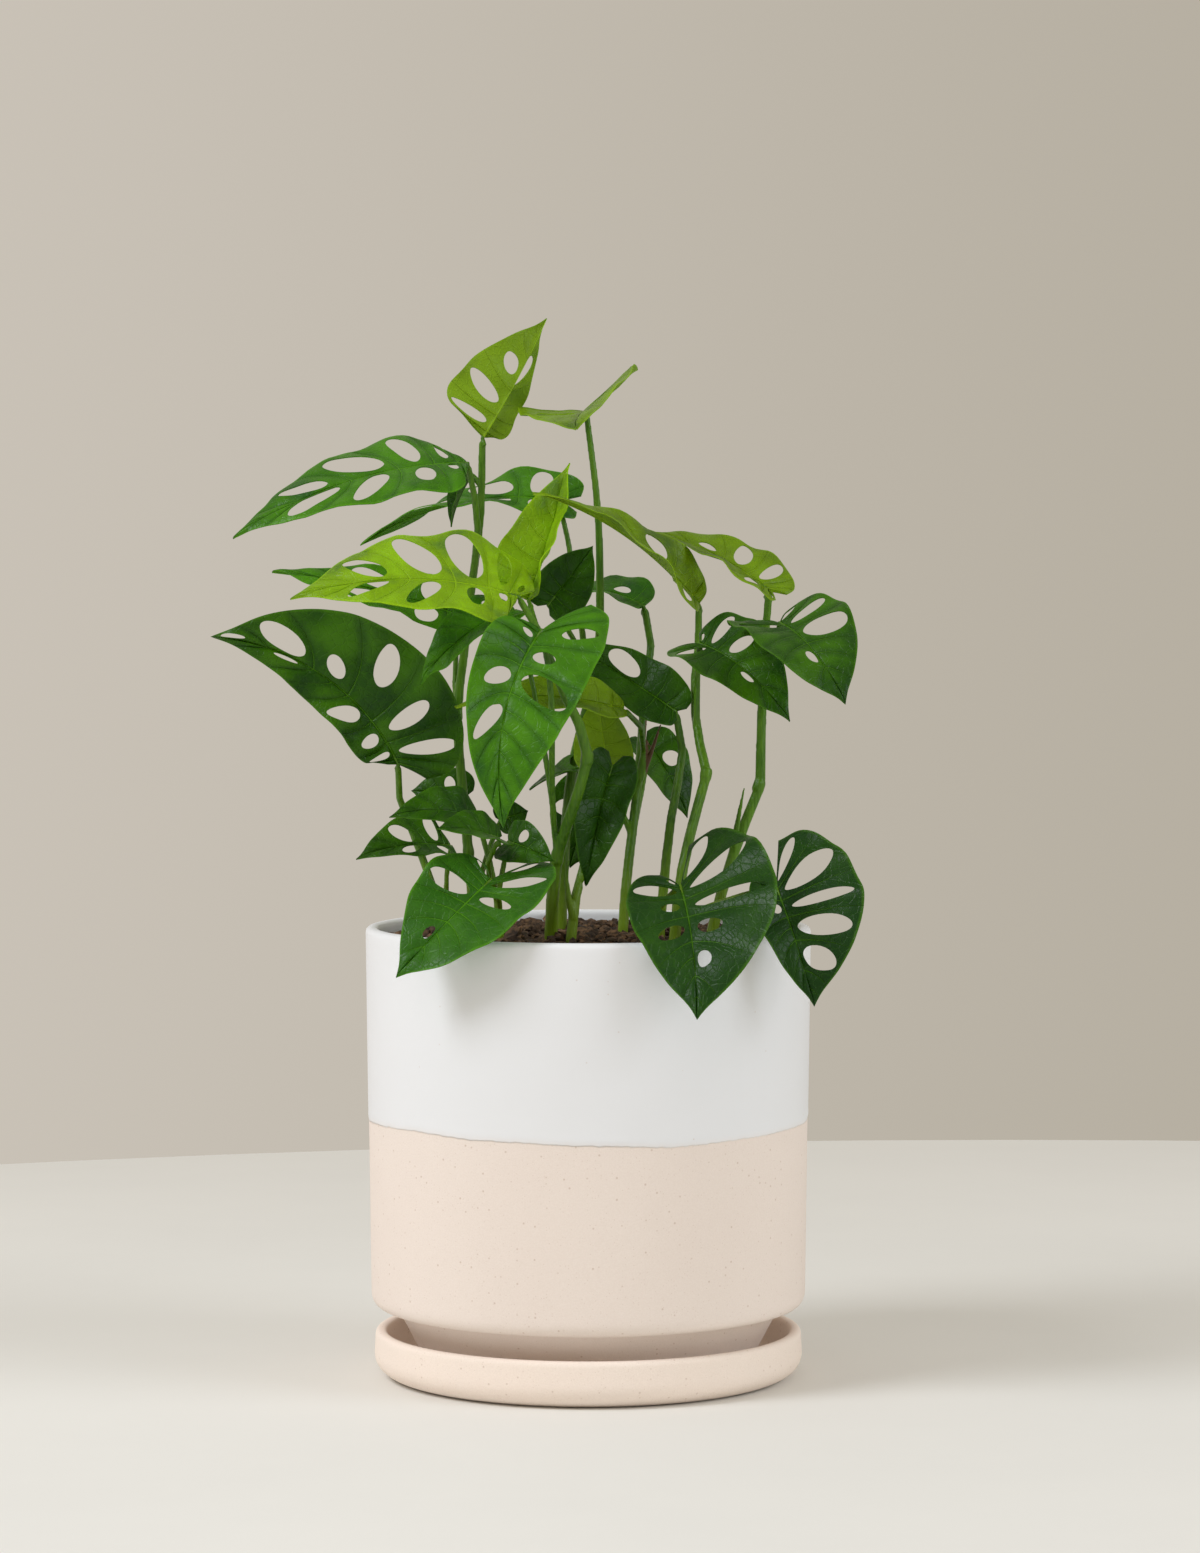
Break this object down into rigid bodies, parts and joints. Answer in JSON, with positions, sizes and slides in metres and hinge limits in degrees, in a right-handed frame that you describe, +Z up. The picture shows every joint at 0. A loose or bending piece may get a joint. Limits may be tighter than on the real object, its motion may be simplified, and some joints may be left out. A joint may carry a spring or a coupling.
{
  "type": "potted monstera plant",
  "caption": "Leafy vine with holes in its leaves, planted in a two-tone cylindrical ceramic pot that stands on a round saucer.",
  "frame": {"origin": "centre of the saucer's underside, on the surface that the pot stands on", "axes": "+Z up, through the pot's axis; -Y towards the front, where the two lowest large leaves hang over the rim"},
  "size_m": [0.2717, 0.2114, 0.4514],
  "materials": {
    "white_glaze": "satin",
    "bare_stoneware": "matte",
    "potting_mix": "matte",
    "stem_green": "satin",
    "leaf_lime": "satin",
    "leaf_fresh": "satin",
    "leaf_green": "satin",
    "leaf_deep": "satin"
  },
  "bodies": {
    "root": {"pot": "white_glaze", "saucer": "bare_stoneware", "shoot_left_tall": "stem_green", "shoot_centre_tall": "stem_green", "shoot_front": "stem_green", "shoot_right_inner": "stem_green", "shoot_right": "stem_green", "shoot_far_right": "stem_green", "shoot_back": "stem_green", "shoot_left": "stem_green", "shoot_drooping": "stem_green", "shoot_low_left": "stem_green", "shoot_low_right": "stem_green", "potting_mix": "potting_mix", "leaf_top": "leaf_fresh", "leaf_top_right": "leaf_fresh", "leaf_long_left": "leaf_green", "leaf_hanging": "leaf_deep", "leaf_back_left": "leaf_green", "leaf_lime": "leaf_lime", "leaf_young": "leaf_lime", "leaf_pale_back": "leaf_green", "leaf_big_left": "leaf_deep", "leaf_curled": "leaf_green", "leaf_front": "leaf_green", "leaf_behind_front": "leaf_deep", "leaf_round_back": "leaf_deep", "leaf_grey": "leaf_green", "leaf_ribbon": "leaf_fresh", "leaf_right_top": "leaf_fresh", "leaf_right_low": "leaf_deep", "leaf_far_right": "leaf_deep", "leaf_heart": "leaf_deep", "leaf_low_right": "leaf_deep", "leaf_low_left": "leaf_green", "leaf_small_left": "leaf_deep", "leaf_small_upper": "leaf_deep", "leaf_small_lower": "leaf_deep", "leaf_small_right": "leaf_deep", "leaf_drooping": "leaf_deep", "leaf_spike": "leaf_deep", "leaf_dark_back": "leaf_deep", "leaf_olive": "leaf_fresh", "leaf_bright": "leaf_fresh", "leaf_inner": "leaf_deep", "leaf_left_back": "leaf_deep", "leaf_dark_low": "leaf_deep"}
  },
  "joints": []
}
